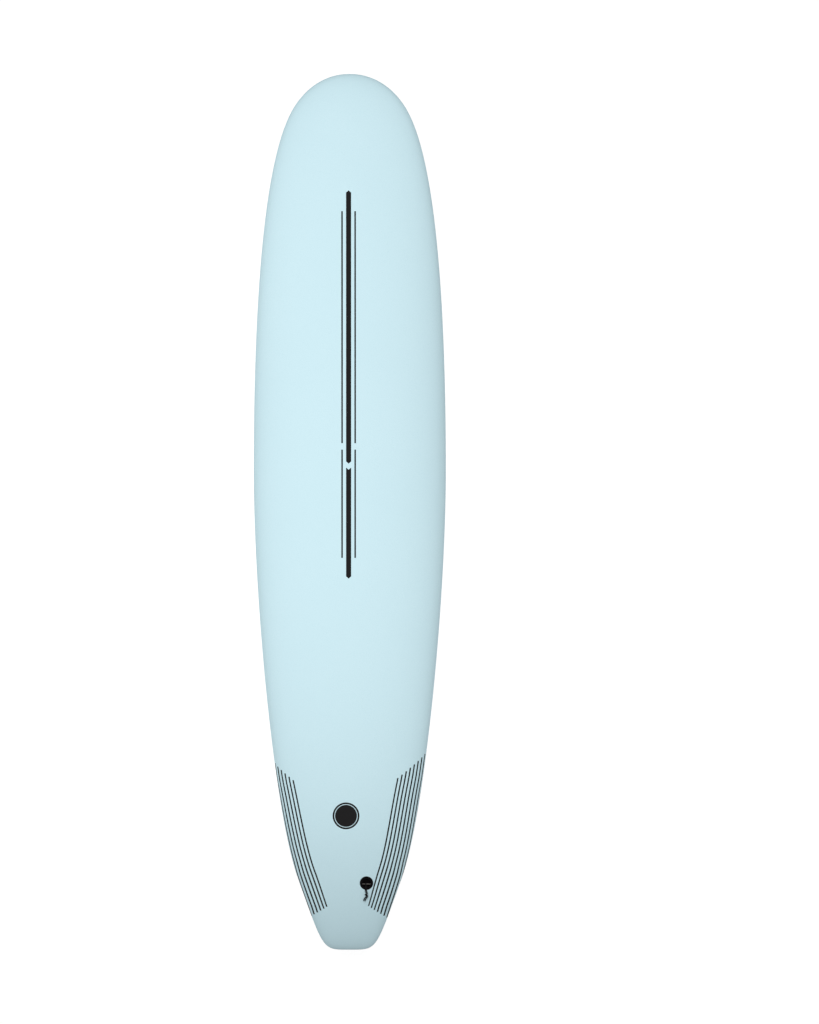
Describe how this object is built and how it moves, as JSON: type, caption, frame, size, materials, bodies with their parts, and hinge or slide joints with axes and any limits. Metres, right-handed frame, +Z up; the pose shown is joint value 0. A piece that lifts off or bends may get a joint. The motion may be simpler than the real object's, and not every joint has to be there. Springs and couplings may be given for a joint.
{
  "type": "soft-top surfboard",
  "caption": "Soft-top longboard: foam deck skin over a foam core with stringers, slick bottom with fin boxes and grub screws, leash plug with pin and string.",
  "frame": {"origin": "on the board's centreline, halfway between nose and tail, level with the flat of its belly", "axes": "+Y to the nose, +Z up out of the deck, +X to the right rail seen from above with the nose ahead"},
  "size_m": [0.603, 2.743, 0.143],
  "materials": {
    "deck_foam": "matte",
    "slick_bottom": "satin",
    "core_foam": "matte",
    "plywood": "matte",
    "insert_foam": "matte",
    "black_nylon": "satin",
    "stainless_steel": "satin",
    "black_cord": "matte"
  },
  "bodies": {
    "board": {"deck_skin": "deck_foam", "bottom_skin": "slick_bottom", "core_plank_outer_right": "core_foam", "core_plank_inner_right": "core_foam", "core_plank_inner_left": "core_foam", "core_plank_outer_left": "core_foam", "stringer_right": "plywood", "stringer_centre": "plywood", "stringer_left": "plywood", "fin_insert_centre": "insert_foam", "fin_insert_left": "insert_foam", "fin_insert_right": "insert_foam", "leash_insert": "insert_foam", "fin_box_centre": "black_nylon", "fin_box_left": "black_nylon", "fin_box_right": "black_nylon", "leash_plug": "black_nylon", "leash_pin": "stainless_steel", "leash_string": "black_cord"},
    "grub_screw_centre_front": {"grub_screw_centre_front": "stainless_steel"},
    "grub_screw_centre_rear": {"grub_screw_centre_rear": "stainless_steel"},
    "grub_screw_left_front": {"grub_screw_left_front": "stainless_steel"},
    "grub_screw_left_rear": {"grub_screw_left_rear": "stainless_steel"},
    "grub_screw_right_front": {"grub_screw_right_front": "stainless_steel"},
    "grub_screw_right_rear": {"grub_screw_right_rear": "stainless_steel"}
  },
  "joints": [
    {"name": "grub_turn_centre_front", "type": "hinge", "parent": "board", "child": "grub_screw_centre_front", "pos_m": [-0.00779, -1.17018, 0.04948], "axis": [0.342, 0.109, 0.9333], "range_deg": [0, 990]},
    {"name": "grub_turn_centre_rear", "type": "hinge", "parent": "board", "child": "grub_screw_centre_rear", "pos_m": [-0.00779, -1.23772, 0.05737], "axis": [0.342, 0.109, 0.9333], "range_deg": [0, 990]},
    {"name": "grub_turn_left_front", "type": "hinge", "parent": "board", "child": "grub_screw_left_front", "pos_m": [-0.15287, -0.96553, 0.03067], "axis": [0.3536, 0.0714, 0.9327], "range_deg": [0, 990]},
    {"name": "grub_turn_left_rear", "type": "hinge", "parent": "board", "child": "grub_screw_left_rear", "pos_m": [-0.15459, -1.03326, 0.03651], "axis": [0.3536, 0.0714, 0.9327], "range_deg": [0, 990]},
    {"name": "grub_turn_right_front", "type": "hinge", "parent": "board", "child": "grub_screw_right_front", "pos_m": [0.13729, -0.96594, 0.03051], "axis": [0.3301, 0.0894, 0.9397], "range_deg": [0, 990]},
    {"name": "grub_turn_right_rear", "type": "hinge", "parent": "board", "child": "grub_screw_right_rear", "pos_m": [0.13901, -1.03367, 0.03635], "axis": [0.3301, 0.0894, 0.9397], "range_deg": [0, 990]}
  ]
}
